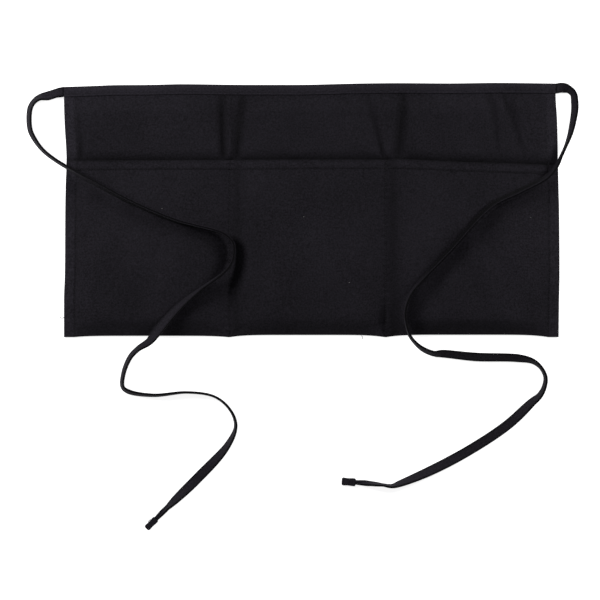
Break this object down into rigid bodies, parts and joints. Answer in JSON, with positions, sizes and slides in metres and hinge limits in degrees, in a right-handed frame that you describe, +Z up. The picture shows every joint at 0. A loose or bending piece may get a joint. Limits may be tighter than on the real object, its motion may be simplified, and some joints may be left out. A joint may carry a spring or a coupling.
{
  "type": "waist apron",
  "caption": "Short waist apron lying flat on its back, with pouch pockets across the front, a bound waistband and two long ties laid loosely over it.",
  "frame": {"origin": "on the surface it lies on, under the middle of the apron without its ties", "axes": "+X to the right across the apron as it lies, +Y from the bottom fold to the waistband, +Z up from the surface, out of the front of the cloth"},
  "size_m": [0.6783, 0.5513, 0.0222],
  "materials": {
    "twill": "matte black twill, washed",
    "binding": "matte black twill, folded and pressed",
    "tie": "matte black twill, folded strip"
  },
  "bodies": {
    "root": {"apron_panel": "twill", "waistband": "binding", "tie_left": "tie", "tie_right": "tie", "tie_end_left": "tie", "tie_end_right": "tie"}
  },
  "joints": []
}
